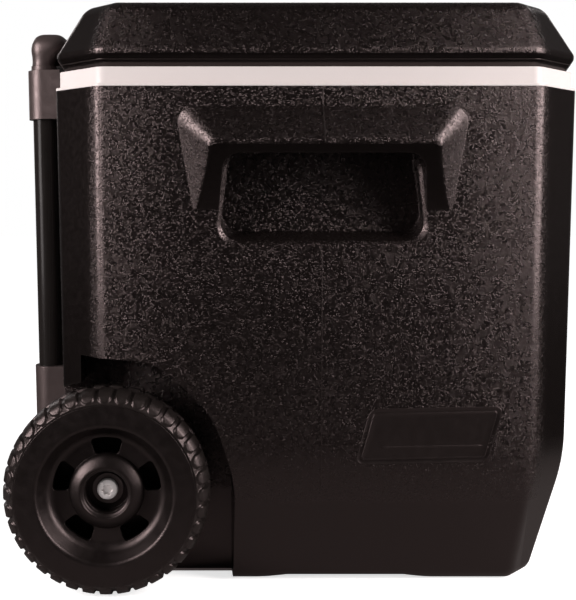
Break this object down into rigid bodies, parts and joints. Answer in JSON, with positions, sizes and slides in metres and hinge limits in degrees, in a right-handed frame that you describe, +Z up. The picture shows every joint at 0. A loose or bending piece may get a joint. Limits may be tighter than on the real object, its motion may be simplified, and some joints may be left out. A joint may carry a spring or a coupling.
{
  "type": "wheeled cooler",
  "caption": "Black insulated cooler box with a hinged lid, moulded hood handles on its ends, lugged wheels at one long side and a telescoping tow handle.",
  "frame": {"origin": "on the floor under the middle of the whole object", "axes": "+Z up, +Y along the long side and the axle, -X towards the tow handle and the wheels"},
  "size_m": [0.451, 0.5824, 0.4594],
  "materials": {
    "black_shell": "matte",
    "pale_liner": "satin",
    "foam": "matte",
    "wheel_plastic": "satin",
    "bush_plastic": "satin",
    "insert_brass": "satin",
    "bright_steel": "satin",
    "tube_metal": "gloss",
    "soft_rubber": "matte",
    "drain_plastic": "satin",
    "black_plastic": "satin"
  },
  "bodies": {
    "cooler": {"axle_bolt_far": "bright_steel", "axle_bolt_near": "bright_steel", "axle_insert_far": "insert_brass", "axle_insert_near": "insert_brass", "axle_washer_inner_far": "bright_steel", "axle_washer_inner_near": "bright_steel", "axle_washer_outer_far": "black_plastic", "axle_washer_outer_near": "black_plastic", "body_foam": "foam", "body_shell": "black_shell", "drain_fitting": "drain_plastic", "drain_gasket": "soft_rubber", "drain_nut": "drain_plastic", "hinge_base_far": "black_plastic", "hinge_base_near": "black_plastic", "hinge_pin_far": "bright_steel", "hinge_pin_near": "bright_steel", "hinge_screws_far": "bright_steel", "hinge_screws_near": "bright_steel", "liner": "pale_liner", "tow_bracket_lower_far": "black_plastic", "tow_bracket_lower_near": "black_plastic", "tow_bracket_screws_far": "bright_steel", "tow_bracket_screws_near": "bright_steel", "tow_bracket_upper_far": "black_plastic", "tow_bracket_upper_near": "black_plastic", "tow_tube_outer_far": "tube_metal", "tow_tube_outer_near": "tube_metal"},
    "lid": {"hinge_arm_far": "black_plastic", "hinge_arm_near": "black_plastic", "lid_foam": "foam", "lid_liner": "pale_liner", "lid_shell": "black_shell"},
    "tow_middle": {"tow_collar_middle_far": "black_plastic", "tow_collar_middle_near": "black_plastic", "tow_tube_middle_far": "tube_metal", "tow_tube_middle_near": "tube_metal"},
    "tow_top": {"tow_elbow_far": "black_plastic", "tow_elbow_near": "black_plastic", "tow_grip_core": "tube_metal", "tow_grip_sleeve": "soft_rubber", "tow_tube_inner_far": "tube_metal", "tow_tube_inner_near": "tube_metal"},
    "wheel_near": {"wheel_bush_near": "bush_plastic", "wheel_disc_near": "wheel_plastic", "wheel_tyre_near": "wheel_plastic"},
    "wheel_far": {"wheel_bush_far": "bush_plastic", "wheel_disc_far": "wheel_plastic", "wheel_tyre_far": "wheel_plastic"},
    "drain_cap": {"drain_cap": "drain_plastic"}
  },
  "joints": [
    {"name": "lid_hinge", "type": "hinge", "parent": "cooler", "child": "lid", "pos_m": [0.2205, 0, 0.3973], "axis": [0, 1, 0], "range_deg": [0, 100]},
    {"name": "tow_middle_slide", "type": "slide", "parent": "cooler", "child": "tow_middle", "axis": [-0.0175, 0, 0.9998], "range_m": [0, 0.22]},
    {"name": "tow_top_slide", "type": "slide", "parent": "tow_middle", "child": "tow_top", "axis": [-0.0175, 0, 0.9998], "range_m": [0, 0.22]},
    {"name": "wheel_near_spin", "type": "hinge", "parent": "cooler", "child": "wheel_near", "pos_m": [-0.1455, -0.27, 0.08], "axis": [0, 1, 0], "continuous": true},
    {"name": "wheel_far_spin", "type": "hinge", "parent": "cooler", "child": "wheel_far", "pos_m": [-0.1455, 0.27, 0.08], "axis": [0, 1, 0], "continuous": true},
    {"name": "drain_cap_turn", "type": "hinge", "parent": "cooler", "child": "drain_cap", "pos_m": [0.1195, 0.251, 0.0604], "axis": [0, 1, 0], "range_deg": [0, 720]}
  ]
}
